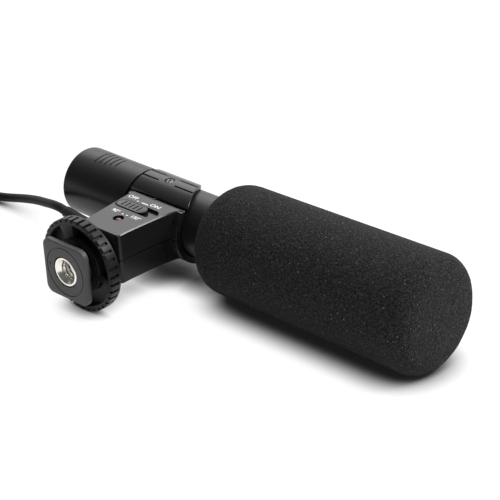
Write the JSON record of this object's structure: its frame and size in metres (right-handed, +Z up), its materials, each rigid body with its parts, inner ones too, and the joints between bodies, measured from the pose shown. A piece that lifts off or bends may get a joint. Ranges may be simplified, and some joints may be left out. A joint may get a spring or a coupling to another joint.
{
  "type": "on camera microphone",
  "caption": "Small shotgun microphone with a foam windshield, a side arm with a slide switch and a camera shoe foot with a lock wheel, and a short lead with a jack plug.",
  "frame": {"origin": "on the table, under the middle of the microphone's box without its lead", "axes": "+X along the tube towards the foam's front, +Y away from the arm, +Z up"},
  "size_m": [0.2225, 0.0666, 0.0366],
  "materials": {
    "foam": "open foam, matt black",
    "black_tube": "black anodised, satin",
    "black_shell": "black ABS, fine satin",
    "black_part": "black plastic, dull",
    "foot_plastic": "dark grey plastic, dull",
    "black_rubber": "soft black PVC",
    "bare_metal": "plain aluminium",
    "bright_steel": "bright steel",
    "dark_screw": "black oxide steel",
    "nickel": "nickel plated",
    "cell_wrap": "plain wrapped cell",
    "board": "green solder mask",
    "red_lens": "clear red lamp"
  },
  "bodies": {
    "microphone": {"barrel": "black_tube", "front_cap": "black_part", "capsule_holder": "black_rubber", "capsule_left": "bare_metal", "capsule_right": "bare_metal", "battery_holder": "black_part", "battery_cell": "cell_wrap", "contact_spring": "bright_steel", "contact_plate": "bright_steel", "arm_upper": "black_shell", "arm_lower": "black_shell", "saddle_cover": "black_shell", "clamp_screw": "dark_screw", "shell_screw_left": "dark_screw", "shell_screw_right": "dark_screw", "shoe_foot": "foot_plastic", "threaded_insert": "nickel", "switch_body": "black_part", "circuit_board": "board", "power_lamp": "red_lens", "strain_relief": "black_rubber", "lead": "black_rubber", "lead_coil": "black_rubber", "plug_grip": "black_rubber", "plug_pin": "nickel"},
    "windshield": {"foam_windshield": "foam"},
    "battery_sleeve": {"tail_sleeve": "black_tube"},
    "switch": {"switch_knob": "black_part"},
    "washer": {"lock_washer": "black_rubber"},
    "wheel": {"lock_wheel": "black_part"}
  },
  "joints": [
    {"name": "windshield_pull", "type": "slide", "parent": "microphone", "child": "windshield", "axis": [1, 0, 0], "range_m": [0, 0.085]},
    {"name": "sleeve_pull", "type": "slide", "parent": "microphone", "child": "battery_sleeve", "axis": [-1, 0, 0], "range_m": [0, 0.045]},
    {"name": "switch_slide", "type": "slide", "parent": "microphone", "child": "switch", "axis": [1, 0, 0], "range_m": [0, 0.0044]},
    {"name": "lock_travel", "type": "slide", "parent": "microphone", "child": "washer", "axis": [0, -0.9973, -0.074], "range_m": [-0.0055, 0.0026]},
    {"name": "lock_turn", "type": "hinge", "parent": "washer", "child": "wheel", "pos_m": [-0.03235, -0.02551, 0.01531], "axis": [0, -0.9973, -0.074], "range_deg": [-1300, 610]}
  ],
  "couplings": [
    {"joint": "lock_travel", "follows": "lock_turn", "m_per_rad": 0.00023873}
  ]
}
